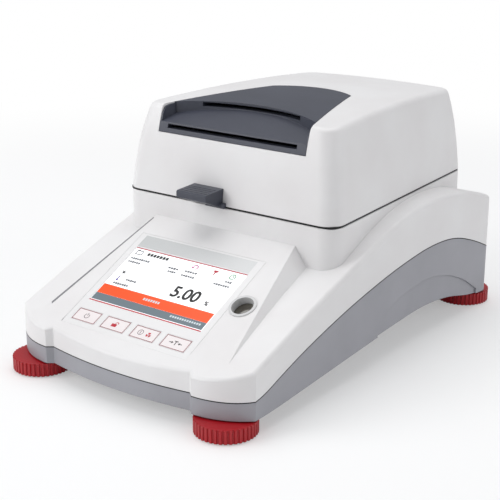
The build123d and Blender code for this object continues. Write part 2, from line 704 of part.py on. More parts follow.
section = Pos(LAMP_R, 0, 0) * Rot(90, 0, 0) * RegularPolygon(LAMP_TUBE_R, 12)
lamp = revolve(section, Axis.Z, 360 - LAMP_GAP_ANGLE)
save("halogen_lamp", Pos(0, PAN_Y, lamp_z) * Rot(0, 0, LAMP_GAP_ANGLE / 2 + 90) * lamp)
holders = []
for k in range(3):
    turn = radians(90 + LAMP_GAP_ANGLE + k * (360 - 2 * LAMP_GAP_ANGLE) / 2)
    hx = LAMP_R * cos(turn)
    hy = PAN_Y + LAMP_R * sin(turn)
    holders.append(rod(hx, hy, lamp_z + LAMP_TUBE_R + 0.2, reflector_top - REFLECTOR_T, 3))
save("lamp_holders", Compound(children=holders))
sensor_y = PAN_Y + REFLECTOR_R + 6
sensor = rod(0, sensor_y, LINER_Z - 8, liner_top, 1.5)
sensor += rod(0, sensor_y, liner_top, liner_top + 3, 3)
save("temperature_sensor", sensor)
liner -= rod(0, sensor_y, LINER_Z - 8, liner_top + 1, 1.5 + PIN_FIT)
save("lid_liner", liner)

# Lid side of the two hinges, and their pins
knuckles = []
pins = []
for x in (-HINGE_X, HINGE_X):
    x0 = x - KNUCKLE_W / 2
    x1 = x + KNUCKLE_W / 2
    knuckle = cross_rod(x0, x1, HINGE_Y, HINGE_Z, BARREL_R)
    knuckle += block(x0, x1, LID_REAR_Y - 6, HINGE_Y, skirt_z, HINGE_Z + BARREL_R + 4) - lid_outer
    knuckle += block(x0, x1, HINGE_Y - BARREL_R, HINGE_Y, HINGE_Z, skirt_z)
    knuckle -= cross_rod(x0 - 1, x1 + 1, HINGE_Y, HINGE_Z, PIN_R + PIN_RUN)
    knuckles.append(knuckle)
    reach = KNUCKLE_W / 2 + EAR_GAP + EAR_W
    pins.append(cross_rod(x - reach, x + reach, HINGE_Y, HINGE_Z, PIN_R))
save("lid_knuckles", Compound(children=knuckles))
save("hinge_pins", Compound(children=pins))

# Chamber tray, and the round well let into it: a turned wall on a pressed floor
tray = extrude(trapezoid(TRAY_RIM + SEAM_GAP, 0.0, deck_z - TRAY_T), amount=TRAY_T)
tray_low = deck_z - TRAY_PLUG
tray += extrude(trapezoid(TRAY_RIM + TRAY_LEDGE + SEAM_GAP, 0.0, tray_low), amount=TRAY_PLUG)
tray -= rod(0, PAN_Y, tray_low - 5, deck_z + 5, WELL_R)
save("chamber_tray", tray)
well_low = WELL_FLOOR_Z - WELL_T
save("chamber_well", ring(0, PAN_Y, well_low, tray_low, WELL_R + WELL_T, WELL_R))
save("well_floor", ring(0, PAN_Y, well_low, WELL_FLOOR_Z, WELL_R - PIN_FIT, STEM_HOLE_R))
half_shield = HEAT_SHIELD_W / 2
shield_low = HEAT_SHIELD_Z + HEAT_SHIELD_T
heat_shield = block(-half_shield, half_shield, PAN_Y - half_shield, PAN_Y + half_shield,
                    HEAT_SHIELD_Z, shield_low)
heat_shield -= rod(0, PAN_Y, HEAT_SHIELD_Z - 5, HEAT_SHIELD_Z + 5, STEM_HOLE_R)
post = half_shield - SHIELD_POST_EDGE
for x in (-post, post):
    for y in (-post, post):
        heat_shield += rod(x, PAN_Y + y, shield_low - HEAT_SHIELD_T / 2, tray_low, STANDOFF_R)
save("heat_shield", heat_shield)

# Draft shield, pan handler and sample pan lift out one after the other
shield_z = WELL_FLOOR_Z + LIFT_CLEAR
shield_top = shield_z + SHIELD_T
save("draft_shield", ring(0, PAN_Y, shield_z, shield_top, SHIELD_R, SUPPORT_ARM + SHIELD_BORE_CLEAR))
pan_rim_z = PAN_Z + PAN_DEPTH
pan = rod(0, PAN_Y, PAN_Z, pan_rim_z, PAN_R)
pan -= rod(0, PAN_Y, PAN_Z + PAN_WALL, pan_rim_z + 1, PAN_R - PAN_WALL)
pan += ring(0, PAN_Y, pan_rim_z - PAN_WALL, pan_rim_z, PAN_R + 2, PAN_R - PAN_WALL)
save("sample_pan", pan)
handler_top = pan_rim_z - PAN_WALL - LIFT_CLEAR
handler_r = PAN_R + 0.6
handler = ring(0, PAN_Y, handler_top - HANDLER_T, handler_top, handler_r + HANDLER_WIDTH, handler_r)
for k in range(3):
    leg = Pos(0, PAN_Y, 0) * Rot(0, 0, -90 + 120 * k) * block(
        handler_r + 0.5, handler_r + HANDLER_WIDTH - 0.5, -3, 3, shield_top + LIFT_CLEAR, handler_top - 0.5)
    handler += leg
grip_root = PAN_Y - handler_r - HANDLER_WIDTH + 1
handler += block(-GRIP_W / 2, GRIP_W / 2, grip_root - GRIP_REACH, grip_root,
                 handler_top - HANDLER_T, handler_top)
save("pan_handler", handler)
support_top = PAN_Z - LIFT_CLEAR
cell_z = CHASSIS_Z + CHASSIS_T + CELL_LIFT
cell_top = cell_z + CELL_H
support = rod(0, PAN_Y, cell_top - STEM_BITE, support_top, STEM_R)
for k in range(3):
    arm = block(0, SUPPORT_ARM, -SUPPORT_ARM_W / 2, SUPPORT_ARM_W / 2, support_top - SUPPORT_T, support_top)
    support += Pos(0, PAN_Y, 0) * Rot(0, 0, 30 + 120 * k) * arm
save("pan_support", support)

# Weighing cell on the chassis
chassis_top = CHASSIS_Z + CHASSIS_T
save("chassis", block(-CHASSIS_X, CHASSIS_X, CHASSIS_FRONT, CHASSIS_REAR, CHASSIS_Z, chassis_top))
cell_rear = PAN_Y + CELL_STEM_EDGE
cell_front = cell_rear - CELL_L
cell = block(-CELL_W / 2, CELL_W / 2, cell_front, cell_rear, cell_z, cell_top)
bore_ys = [(cell_front + cell_rear + side * CELL_BORE_PITCH) / 2 for side in (-1, 1)]
bore_z = (cell_z + cell_top) / 2
for y in bore_ys:
    cell -= cross_rod(-CELL_W, CELL_W, y, bore_z, CELL_BORE_R)
cell -= block(-CELL_W, CELL_W, bore_ys[0], bore_ys[1], bore_z - CELL_SLOT_H / 2, bore_z + CELL_SLOT_H / 2)
cell -= rod(0, PAN_Y, cell_top - STEM_BITE - 2, cell_top + 1, STEM_R + RUN_CLEAR)
save("load_cell", cell)
cell_foot = block(-CELL_W / 2, CELL_W / 2, cell_front, cell_front + CELL_FOOT_L, chassis_top, cell_z)
save("load_cell_block", cell_foot)

# Electronics on the chassis
board_z = chassis_top + STANDOFF_H
board_x = CHASSIS_X - DECK_EDGE - BOARD_W
board_y = CHASSIS_FRONT + 2 * DECK_EDGE
board_top = board_z + PCB_T
main_board = block(board_x, board_x + BOARD_W, board_y, board_y + BOARD_L, board_z, board_top)
for x, y, wide, long, high in BOARD_PARTS:
    main_board += block(board_x + x, board_x + x + wide, board_y + y, board_y + y + long,
                        board_top, board_top + high)
save("main_board", main_board)
standoffs = []
for x in (board_x + DECK_EDGE, board_x + BOARD_W - DECK_EDGE):
    for y in (board_y + DECK_EDGE, board_y + BOARD_L - DECK_EDGE):
        standoffs.append(rod(x, y, chassis_top, board_z, STANDOFF_R))
save("board_standoffs", Compound(children=standoffs))
supply_x = -CHASSIS_X + DECK_EDGE
supply_y = CHASSIS_REAR - 2 * DECK_EDGE
save("power_supply", block(supply_x, supply_x + SUPPLY_W, supply_y - SUPPLY_L, supply_y,
                           chassis_top, chassis_top + SUPPLY_H))

# Rear connector panel
panel_y = REAR_Y - WALL


def port(x, width, height, front, rear, z=REAR_PANEL_Z):
    """Box through the rear panel, between two depths from its outer face."""
    return block(x - width / 2, x + width / 2, panel_y + front, panel_y + rear,
                 z - height / 2, z + height / 2)


rear_panel = port(0, rear_panel_w + 2 * REAR_PANEL_RIM, REAR_PANEL_H + 2 * REAR_PANEL_RIM, -REAR_PANEL_T, 0)
rear_panel -= port(inlet_x, INLET_W, INLET_H, -10, 5)
rear_panel -= port(serial_x, SERIAL_MOUTH_W + 0.4, SERIAL_MOUTH_H + 0.4, -10, 5)
rear_panel -= port(usb_x, USB_W, USB_H, -10, 5)
save("rear_panel", rear_panel)
inlet = port(inlet_x, INLET_W, INLET_H, -INLET_DEPTH, PORT_PROUD)
inlet += port(inlet_x, INLET_W + 2 * INLET_WALL, INLET_H + INLET_WALL, 0, PORT_PROUD)
inlet -= port(inlet_x, INLET_W - 2 * INLET_WALL, INLET_H - 2 * INLET_WALL, 3 - INLET_DEPTH, 5)
for x, z in ((-INLET_PIN_PITCH, -INLET_PIN_W), (0, INLET_PIN_W), (INLET_PIN_PITCH, -INLET_PIN_W)):
    inlet += port(inlet_x + x, INLET_PIN_W, 2 * INLET_PIN_W, 2 - INLET_DEPTH, -3, REAR_PANEL_Z + z)
save("power_inlet", inlet)
serial = port(serial_x, SERIAL_MOUTH_W, SERIAL_MOUTH_H, -SERIAL_DEPTH, 4)
serial += port(serial_x, SERIAL_W, SERIAL_H, 0, PORT_PROUD)
save("serial_port", serial)
usb = port(usb_x, USB_W, USB_H, -USB_DEPTH, PORT_PROUD)
for z in (-USB_PITCH / 2, USB_PITCH / 2):
    usb -= port(usb_x, USB_MOUTH_W, USB_MOUTH_H, 4 - USB_DEPTH, 5, REAR_PANEL_Z + z)
save("usb_ports", usb)

# Levelling feet: rubber pad, knurled wheel and threaded stud
flange_top = PAD_T + SEAT_CLEAR + STUD_FLANGE_T + 1.0
valley_r = FOOT_R - FOOT_RIB_DEPTH
for (x, y), name in zip(FEET, FOOT_NAMES):
    pad = rod(x, y, 0, PAD_T, PAD_R) + rod(x, y, PAD_T, PAD_T + 5, PAD_PIN_R)
    save("foot_pad_" + name, pad)
    rim = []
    for k in range(FOOT_RIBS):
        for share, reach in ((0.0, FOOT_R), (0.45, FOOT_R), (0.6, valley_r), (0.85, valley_r)):
            turn = 2 * pi * (k + share) / FOOT_RIBS
            rim.append((reach * cos(turn), reach * sin(turn)))
    rim_face = Pos(x, y, FOOT_BOTTOM) * make_face(Polyline(*rim, close=True))
    wheel = extrude(rim_face, amount=FOOT_TOP - FOOT_BOTTOM)
    wheel -= rod(x, y, 0, PAD_T + SEAT_CLEAR, PAD_R + SEAT_CLEAR)
    wheel -= rod(x, y, 0, flange_top, STUD_FLANGE_R + PIN_FIT)
    wheel -= rod(x, y, 0, STUD_TOP, STUD_R + PIN_FIT)
    save("foot_wheel_" + name, wheel)
    stud = rod(x, y, flange_top - STUD_FLANGE_T, flange_top, STUD_FLANGE_R)
    stud += rod(x, y, flange_top - 1, STUD_TOP, STUD_R)
    stud -= rod(x, y, 0, PAD_T + 5 + 0.5, PAD_PIN_R + RUN_CLEAR)
    save("foot_stud_" + name, stud)
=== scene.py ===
"""Looks of a bench moisture analyzer: white and grey moulded housing, dark lid vent,
lit touch display, red levelling feet, and a halogen drying chamber under the lid."""
from math import cos, pi, radians, sin

import bmesh
import bpy
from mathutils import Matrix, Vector


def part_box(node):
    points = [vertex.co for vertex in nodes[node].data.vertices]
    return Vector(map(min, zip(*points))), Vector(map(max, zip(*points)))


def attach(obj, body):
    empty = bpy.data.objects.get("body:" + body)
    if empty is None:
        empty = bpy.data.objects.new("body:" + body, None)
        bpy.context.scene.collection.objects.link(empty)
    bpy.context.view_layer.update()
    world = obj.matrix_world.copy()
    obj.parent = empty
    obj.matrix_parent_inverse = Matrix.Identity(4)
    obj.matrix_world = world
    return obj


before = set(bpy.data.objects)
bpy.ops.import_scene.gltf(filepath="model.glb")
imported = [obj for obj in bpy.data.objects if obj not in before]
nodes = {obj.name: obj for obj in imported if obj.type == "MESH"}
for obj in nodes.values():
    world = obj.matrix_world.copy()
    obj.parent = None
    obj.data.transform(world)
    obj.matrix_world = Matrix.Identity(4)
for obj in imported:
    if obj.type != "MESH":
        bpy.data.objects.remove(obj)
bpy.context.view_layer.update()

# Camera. It stands at the front right of the instrument, a little above the lid, and a
# long lens keeps the housing's edges nearly parallel.
CAMERA_PLACE = (0.5090, -0.6792, 0.3352)
CAMERA_TURN = (72.3, 0.0, 37.8)
CAMERA_LENS = 84.7
scene = bpy.context.scene
scene.view_settings.view_transform = "Standard"
camera_data = bpy.data.cameras.new("camera")
camera_data.lens = CAMERA_LENS
camera = bpy.data.objects.new("camera", camera_data)
camera.location = CAMERA_PLACE
camera.rotation_euler = [radians(turn) for turn in CAMERA_TURN]
scene.collection.objects.link(camera)
scene.camera = camera

# Backdrop. White paper behind the table, seen straight and through glass as plain white,
# while a weaker, slightly cool light comes from all round the room.
ROOM_LIGHT = 0.40
PAPER_LIGHT = 1.0


def srgb(code):
    """Linear colour of an sRGB hex code."""
    parts = [int(code[k:k + 2], 16) / 255 for k in (1, 3, 5)]
    return [p / 12.92 if p <= 0.04045 else ((p + 0.055) / 1.055) ** 2.4 for p in parts] + [1.0]


def add(tree, kind, settings=None, feeds=(), **inputs):
    """Adds a shader node with its settings, and links or fills its inputs, in order or by name."""
    node = tree.nodes.new("ShaderNode" + kind)
    for name, value in (settings or {}).items():
        setattr(node, name, value)
    wanted = [(node.inputs[k], value) for k, value in enumerate(feeds)]
    wanted += [(node.inputs[name.replace("_", " ")], value) for name, value in inputs.items()]
    for socket, value in wanted:
        if isinstance(value, bpy.types.NodeSocket):
            tree.links.new(value, socket)
        else:
            socket.default_value = value
    return node


world = bpy.data.worlds.new("studio")
world.use_nodes = True
scene.world = world
tree = world.node_tree
path = add(tree, "LightPath").outputs
seen = add(tree, "Math", {"operation": "MAXIMUM"}, [path["Is Camera Ray"], path["Is Transmission Ray"]])
room = add(tree, "Background", Color=srgb("#F4F6FA"), Strength=ROOM_LIGHT)
paper = add(tree, "Background", Color=srgb("#FFFFFF"), Strength=PAPER_LIGHT)
mixed = add(tree, "MixShader", {}, [seen.outputs[0], room.outputs[0], paper.outputs[0]])
tree.links.new(mixed.outputs[0], tree.nodes["World Output"].inputs["Surface"])

# Softboxes. Three large diffused lamps: one at the front left, a weak one at the right
# and one overhead, all turned to the instrument.
SOFTBOXES = [
    # name, place, height that it is turned to, width, height, watts
    ("softbox_front_left", (-1.15, -1.45, 1.05), 0.10, 1.3, 1.0, 18.0),
    ("softbox_right", (1.75, 0.55, 0.85), 0.10, 1.2, 1.0, 6.5),
    ("softbox_top", (-0.2, 0.2, 1.9), 0.05, 1.8, 1.8, 21.0),
]
for name, stand, aim, wide, high, watts in SOFTBOXES:
    lamp = bpy.data.lights.new(name, "AREA")
    lamp.shape = "RECTANGLE"
    lamp.size = wide
    lamp.size_y = high
    lamp.energy = watts
    softbox = bpy.data.objects.new(name, lamp)
    softbox.location = stand
    toward = Vector((0, 0, aim)) - Vector(stand)
    softbox.rotation_euler = toward.to_track_quat("-Z", "Y").to_euler()
    scene.collection.objects.link(softbox)

# Table top. A board painted in flat white, which fades into the backdrop away from the
# instrument and keeps its shadow close by.
TABLE_HALF = 4.0
FADE_NEAR = 0.42
FADE_FAR = 1.0
PAPER_SHARE_NEAR = 0.35


def new_material(name):
    """An empty material with its surface shader."""
    material = bpy.data.materials.new(name)
    material.use_nodes = True
    tree = material.node_tree
    return material, tree, tree.nodes["Principled BSDF"]


# flat paint: no highlight, only the soft shadow of the instrument
board_paint, tree, shader = new_material("board_white_painted")
shader.inputs["Base Color"].default_value = srgb("#F7F7F7")
shader.inputs["Roughness"].default_value = 0.7
place = add(tree, "TexCoord").outputs["Object"]
distance = add(tree, "VectorMath", {"operation": "LENGTH"}, Vector=place).outputs["Value"]
fade = add(tree, "MapRange", {"interpolation_type": "SMOOTHSTEP"}, Value=distance,
           From_Min=FADE_NEAR, From_Max=FADE_FAR, To_Min=PAPER_SHARE_NEAR, To_Max=1.0)
path = add(tree, "LightPath").outputs
share = add(tree, "Math", {"operation": "MULTIPLY"}, [fade.outputs["Result"], path["Is Camera Ray"]])
paper = add(tree, "Emission", Color=srgb("#FFFFFF"), Strength=PAPER_LIGHT)
mixed = add(tree, "MixShader", {}, [share.outputs[0], shader.outputs[0], paper.outputs[0]])
tree.links.new(mixed.outputs[0], tree.nodes["Material Output"].inputs["Surface"])

table_corners = [(TABLE_HALF * x, TABLE_HALF * y, 0) for x, y in ((-1, -1), (1, -1), (1, 1), (-1, 1))]
table_mesh = bpy.data.meshes.new("table_top")
table_mesh.from_pydata(table_corners, [], [(0, 1, 2, 3)])
table_mesh.materials.append(board_paint)
table_top = bpy.data.objects.new("table_top", table_mesh)
scene.collection.objects.link(table_top)

# Upper housing and lid shell. ABS, injection moulded in white, with a spark-eroded grain
# on the tool that leaves a satin surface.
MM = 0.001
GRAIN_MM = 0.45            # real grit is about 0.15 mm, drawn coarser so that it shows
GRAIN_LOW = 0.3            # part of the noise's range that the grain takes up
GRAIN_HIGH = 0.7
GLOSS_RISE = 0.14          # how far the roughness strays up and down, as shares of itself
GLOSS_DROP = 0.112
RELIEF_STRENGTH = 0.6
EDGE_RAYS = 6
FLOW_MM = 45               # length of the slow flow marks in a moulding
FLOW_LOW = 0.35
FLOW_HIGH = 0.65
PLASTIC_IOR = 1.5


def worn(tree, shader, roughness, grain_mm, depth_mm, edge_mm=0.0, stretch=(1, 1, 1)):
    """Fine grain in the gloss and the relief of a surface, with softened edges; gives the grain."""
    place = add(tree, "TexCoord").outputs["Object"]
    pitch = [share / (grain_mm * MM) for share in stretch]
    scaled = add(tree, "Mapping", Vector=place, Scale=pitch).outputs["Vector"]
    grain = add(tree, "TexNoise", Vector=scaled, Scale=1.0, Detail=2.0).outputs["Fac"]
    gloss = add(tree, "MapRange", Value=grain, From_Min=GRAIN_LOW, From_Max=GRAIN_HIGH,
                To_Min=roughness * (1 - GLOSS_DROP), To_Max=roughness * (1 + GLOSS_RISE))
    tree.links.new(gloss.outputs["Result"], shader.inputs["Roughness"])
    relief = add(tree, "Bump", Strength=RELIEF_STRENGTH, Distance=depth_mm * MM, Height=grain)
    if edge_mm:
        rounded = add(tree, "Bevel", {"samples": EDGE_RAYS}, Radius=edge_mm * MM)
        tree.links.new(rounded.outputs["Normal"], relief.inputs["Normal"])
    tree.links.new(relief.outputs["Normal"], shader.inputs["Normal"])
    return grain


def moulded(name, colour, shade, roughness, grain_mm=GRAIN_MM, depth_mm=0.012, edge_mm=0.5, coat=0.0):
    """Moulded plastic or rubber: grain from the tool, slow flow marks and softened edges."""
    material, tree, shader = new_material(name)
    place = add(tree, "TexCoord").outputs["Object"]
    flow = add(tree, "TexNoise", Vector=place, Scale=1 / (FLOW_MM * MM), Detail=3.0).outputs["Fac"]
    tint = add(tree, "ValToRGB", Fac=flow)
    for stop, position, code in zip(tint.color_ramp.elements, (FLOW_LOW, FLOW_HIGH), (shade, colour)):
        stop.position = position
        stop.color = srgb(code)
    tree.links.new(tint.outputs["Color"], shader.inputs["Base Color"])
    worn(tree, shader, roughness, grain_mm, depth_mm, edge_mm)
    shader.inputs["IOR"].default_value = PLASTIC_IOR
    shader.inputs["Coat Weight"].default_value = coat
    return material


def finish_nodes(material, *names):
    """Gives CAD nodes their finish."""
    for name in names:
        mesh = nodes[name].data
        mesh.materials.clear()
        mesh.materials.append(material)


# satin white: broad soft highlights and light rounded edges
white_abs = moulded("abs_white_spark_grained", "#E9E8E8", "#E5E3E3", roughness=0.42, edge_mm=0.8)
finish_nodes(white_abs, "upper_housing", "lid_shell")

# Lower housing with the rear panel. ABS moulded in mid grey, screwed up into the white
# shell from below. The same satin grain makes its grey look soft and even.
grey_abs = moulded("abs_grey_spark_grained", "#A2A2A8", "#9B9BA1", roughness=0.45, edge_mm=0.6)
finish_nodes(grey_abs, "lower_housing", "rear_panel")

# Lid vent and handle. Heat-resistant polycarbonate blend moulded in dark slate, with a
# finer grain that looks almost smooth and gives a faint bluish sheen.
slate_plastic = moulded("polycarbonate_slate_fine_grained", "#414450", "#3C3F4A", roughness=0.40,
                        grain_mm=0.35, depth_mm=0.008)
finish_nodes(slate_plastic, "lid_vent", "lid_handle")

# Vent cheeks. Two thin walls of the same slate moulding, which close the scooped front
# of the lid vent at its sides.
CHEEK_T = 1.3
CHEEK_STATIONS = [
    # inset, back, foot and top, measured from the vent's lower front corner
    (0.0, 2.2, 4.1, 6.6),
    (0.0, 4.4, 6.0, 13.6),
    (0.0, 7.4, 7.0, 17.4),
    (1.2, 10.9, 9.0, 18.7),
    (2.5, 14.9, 11.0, 19.2),
]


def show_piece(name, mesh, material, body):
    """Shows a mesh in a material, moving with a body."""
    mesh.materials.append(material)
    piece = bpy.data.objects.new(name, mesh)
    scene.collection.objects.link(piece)
    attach(piece, body)


def mesh_piece(name, vertices, faces, material, body):
    """A closed mesh with its faces turned outward, shown in a material and moving with a body."""
    mesh = bpy.data.meshes.new(name)
    mesh.from_pydata([tuple(v) for v in vertices], [], faces)
    turned = bmesh.new()
    turned.from_mesh(mesh)
    bmesh.ops.recalc_face_normals(turned, faces=turned.faces)
    turned.to_mesh(mesh)
    turned.free()
    show_piece(name, mesh, material, body)


def tube_faces(first, stations):
    """Sides and ends of a square tube that has four corners at each station."""
    faces = []
    last = first + 4 * (stations - 1)
    for base in range(first, last, 4):
        for corner in range(4):
            after = (corner + 1) % 4
            faces.append([base + corner, base + after, base + 4 + after, base + 4 + corner])
    faces.append([first, first + 1, first + 2, first + 3])
    faces.append([last + 3, last + 2, last + 1, last])
    return faces


vent_low, vent_high = [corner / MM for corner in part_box("lid_vent")]
cheek_points = []
cheek_faces = []
for side in (-1, 1):
    cheek_faces += tube_faces(len(cheek_points), len(CHEEK_STATIONS))
    for inset, back, foot, top in CHEEK_STATIONS:
        for x, z in ((inset, foot), (inset + CHEEK_T, foot), (inset + CHEEK_T, top), (inset, top)):
            point = Vector((side * (vent_high.x - x), vent_low.y + back, vent_low.z + z))
            cheek_points.append(point * MM)
mesh_piece("vent_cheeks", cheek_points, cheek_faces, slate_plastic, "lid")

# Grip ribs. Four low bars of the same slate moulding across the top of the handle, where
# a hand lifts the lid.
HANDLE_W = 27.0
HANDLE_DROP = 1.2          # from the handle's highest edge down to its tip
HANDLE_SLOPE = 0.06
RIB_COUNT = 4
RIB_FIRST = 3.0            # from the tip to the first rib
RIB_PITCH = 3.4
RIB_W = 0.7
RIB_H = 0.35
RIB_ROOT = 0.3
RIB_EDGE = 2.0


def prism(vertices, faces, outline, low, high, put):
    """Adds a flat plate with this outline to vertices and faces; put places (x, y, height)."""
    base = len(vertices)
    count = len(outline)
    vertices += [put(x, y, low) for x, y in outline]
    vertices += [put(x, y, high) for x, y in outline]
    faces.append([base + k for k in reversed(range(count))])
    faces.append([base + count + k for k in range(count)])
    for k in range(count):
        after = (k + 1) % count
        faces.append([base + k, base + after, base + count + after, base + count + k])


def blocks(name, boxes, material, body):
    """Square-edged bars in one piece, each from its low and high corner in millimetres."""
    vertices = []
    faces = []
    for (x0, y0, z0), (x1, y1, z1) in boxes:
        outline = [(x0, y0), (x1, y0), (x1, y1), (x0, y1)]
        prism(vertices, faces, outline, z0, z1, lambda x, y, z: Vector((x, y, z)) * MM)
    mesh_piece(name, vertices, faces, material, body)


handle_low, handle_high = [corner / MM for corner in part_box("lid_handle")]
rib_left = handle_low.x + RIB_EDGE
rib_right = handle_low.x + HANDLE_W - RIB_EDGE
ribs = []
for k in range(RIB_COUNT):
    back = RIB_FIRST + k * RIB_PITCH
    y = handle_low.y + back
    z = handle_high.z - HANDLE_DROP + back * HANDLE_SLOPE
    ribs.append(((rib_left, y, z - RIB_ROOT), (rib_right, y + RIB_W, z + RIB_H)))
blocks("handle_ribs", ribs, slate_plastic, "lid")

# Lid seal in the parting gap. Black silicone cord laid round the chamber's top edge, on
# which the closed lid rests.
SEAL_INSET = 1.0 * MM
SEAL_W = 2.4 * MM
SEAL_FRONT_X = 95.5 * MM   # half widths of the lid's outline at its front and its rear
SEAL_REAR_X = 77.2 * MM
SEAL_CORNER = 11.0 * MM
# extruded silicone for the lid seal, a dull black that takes hardly any light; also painted shadow in the
# housing seam
seal_and_seam_shadow_black = moulded("silicone_black_seal_and_painted_seam_shadow", "#161617", "#101011", roughness=0.6,
                         grain_mm=0.8, edge_mm=0.2)
lid_low, lid_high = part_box("lid_shell")
deck_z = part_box("chamber_tray")[1].z


def lid_outline(inset, corner, steps=8):
    """Lid outline moved in by an inset: a trapezoid with rounded corners, anticlockwise."""
    front = Vector((SEAL_FRONT_X - inset, lid_low.y + inset))
    rear = Vector((SEAL_REAR_X - inset, lid_high.y - inset))
    corners = [Vector((-front.x, front.y)), front, rear, Vector((-rear.x, rear.y))]
    points = []
    for k, point in enumerate(corners):
        back = (corners[k - 1] - point).normalized()
        ahead = (corners[(k + 1) % 4] - point).normalized()
        for step in range(steps + 1):
            share = step / steps
            reach = corner * (1 - share) ** 2
            lead = corner * share ** 2
            points.append(point + back * reach + ahead * lead)
    return points


outer_line = lid_outline(SEAL_INSET, SEAL_CORNER)
inner_line = lid_outline(SEAL_INSET + SEAL_W, SEAL_CORNER - SEAL_W)
count = len(outer_line)
seal_rings = [(outer_line, deck_z), (outer_line, lid_low.z), (inner_line, lid_low.z), (inner_line, deck_z)]
seal_points = [(p.x, p.y, height) for line, height in seal_rings for p in line]
seal_faces = []
for side in range(4):
    here = side * count
    there = (side + 1) % 4 * count
    for k in range(count):
        after = (k + 1) % count
        seal_faces.append([here + k, here + after, there + after, there + k])
mesh_piece("lid_seal", seal_points, seal_faces, seal_and_seam_shadow_black, "base")

# Shadow gap between the two housing shells. A thin black strip in the seam is painted shadow:
# it shows as a thin dark line all round, above the grey shell.
SEAM_LINE_H = 0.7 * MM
SEAM_PROUD = 0.05 * MM
SEAM_WELD = 0.002 * MM     # corners of the shell's mesh this close are one
WALL_RISE = 0.3            # a wall's normal rises less than this
RIM_RISE = 0.6             # a rim's normal rises more than this
RIM_X = 0.10               # an edge nearer the middle than both of these isn't on the rim
RIM_Y = 0.14
shell_mesh = bmesh.new()
shell_mesh.from_mesh(nodes["lower_housing"].data)
bmesh.ops.remove_doubles(shell_mesh, verts=shell_mesh.verts, dist=SEAM_WELD)
shell_mesh.normal_update()
shadow_strip_points = []
shadow_strip_faces = []
for edge in shell_mesh.edges:
    walls = [face for face in edge.link_faces if abs(face.normal.z) < WALL_RISE]
    tops = [face for face in edge.link_faces if face.normal.z > RIM_RISE]
    if len(edge.link_faces) != 2 or not walls or not tops:
        continue
    a, b = edge.verts
    middle = (a.co + b.co) / 2
    outward = walls[0].normal
    faces_inward = outward.dot(Vector((middle.x, middle.y, 0))) < 0
    if faces_inward or (abs(middle.y) < RIM_Y and abs(middle.x) < RIM_X):
        continue
    reach = outward * SEAM_PROUD
    rise = Vector((0, 0, SEAM_LINE_H))
    base = len(shadow_strip_points)
    shadow_strip_points += [a.co + reach, b.co + reach, b.co + reach + rise, a.co + reach + rise]
    shadow_strip_points += [a.co - reach, b.co - reach, b.co - reach + rise, a.co - reach + rise]
    for loop in ((0, 1, 2, 3), (7, 6, 5, 4), (0, 4, 5, 1), (3, 2, 6, 7), (1, 5, 6, 2), (0, 3, 7, 4)):
        shadow_strip_faces.append([base + k for k in loop])
shell_mesh.free()
# painted shadow: a dark strip where the seam between the shells lies in shade
mesh_piece("housing_seam_painted_shadow", shadow_strip_points, shadow_strip_faces, seal_and_seam_shadow_black, "base")

# Control panel overlay. Polyester film printed from behind in the housing's white, and
# stuck into a shallow pocket. It is smoother than the moulding, with a tighter highlight.
film_white = moulded("polyester_film_white_printed", "#EAE9E9", "#E7E6E6", roughness=0.34,
                     grain_mm=0.3, depth_mm=0.004, edge_mm=0.2)
finish_nodes(film_white, "control_overlay")

# Touch display. Cover glass over a lit liquid crystal screen, framed by the overlay. The
# screen is white and evenly bright, under the clear reflection of the glass.
BACKLIGHT = 0.35
BACKLIGHT_MM = 30          # width of the faint clouds in the backlight
screen_glass, tree, shader = new_material("display_glass_lit_white")
place = add(tree, "TexCoord").outputs["Object"]
haze = add(tree, "TexNoise", Vector=place, Scale=1 / (BACKLIGHT_MM * MM), Detail=1.0).outputs["Fac"]
lit = add(tree, "ValToRGB", Fac=haze)
lit.color_ramp.elements[0].color = srgb("#F4F5F7")
lit.color_ramp.elements[1].color = srgb("#FFFFFF")
tree.links.new(lit.outputs["Color"], shader.inputs["Base Color"])
tree.links.new(lit.outputs["Color"], shader.inputs["Emission Color"])
shader.inputs["Emission Strength"].default_value = BACKLIGHT
worn(tree, shader, roughness=0.35, grain_mm=0.5, depth_mm=0.002)
shader.inputs["Coat Weight"].default_value = 0.6
shader.inputs["Coat Roughness"].default_value = 0.05
finish_nodes(screen_glass, "touch_glass")

# Screen page. Lit pixels in two colour bands, a red line above and below, and rows of
# small grey marks as the lines of a menu. They all lie just over the tilted cover glass.
PANEL_TILT = radians(26.94)
SCREEN_W = 101.6
SCREEN_H = 56.8
HALFTONE_MM = 0.6          # real dots are about 0.15 mm, drawn coarser so that they show
HALFTONE_DARK = 0.93
PRINT_OUT = 0.02           # above the glass
PRINT_T = 0.05
PRINT_STEP = 0.002         # between the levels of shapes that cross
PRINT_LEVELS = 5
# each rectangle is its middle across and up, its width and its height
LOW_EDGE_LINE = (0, 0.6, SCREEN_W, 1.0)
TOP_EDGE_LINE = (0, SCREEN_H - 0.5, SCREEN_W, 0.8)
ORANGE_BAND = (0, 12.7, SCREEN_W - 1, 9.0)
SLATE_BAND = (0, 4.9, SCREEN_W - 1, 6.4)
MENU_ROWS = [
    (-39.4, 45.8, 18.0, 1.5), (-42.4, 42.2, 11.8, 1.5), (-7.7, 45.6, 9.4, 1.5), (-6.9, 42.3, 7.5, 1.5),
    (8.0, 46.2, 11.2, 1.5), (8.0, 42.0, 12.2, 1.5), (41.4, 46.0, 5.8, 1.5), (38.1, 42.0, 13.8, 1.5),
    (-31.6, 25.2, 10.0, 1.6), (-37.3, 20.0, 14.6, 1.6),
]
MENU_CELL = 2.1
MENU_FILL = 0.78           # width of a mark, as a share of its cell
MENU_LOW = 0.9             # height of the lowest marks, as a share of the row
MENU_STEP = 0.15
# rows of equal marks: middle across and up, pitch, width, height, marks on each side of the middle
TITLE_ROW = (-27.4, 52.4, 2.9, 2.2, 2.6, 3)
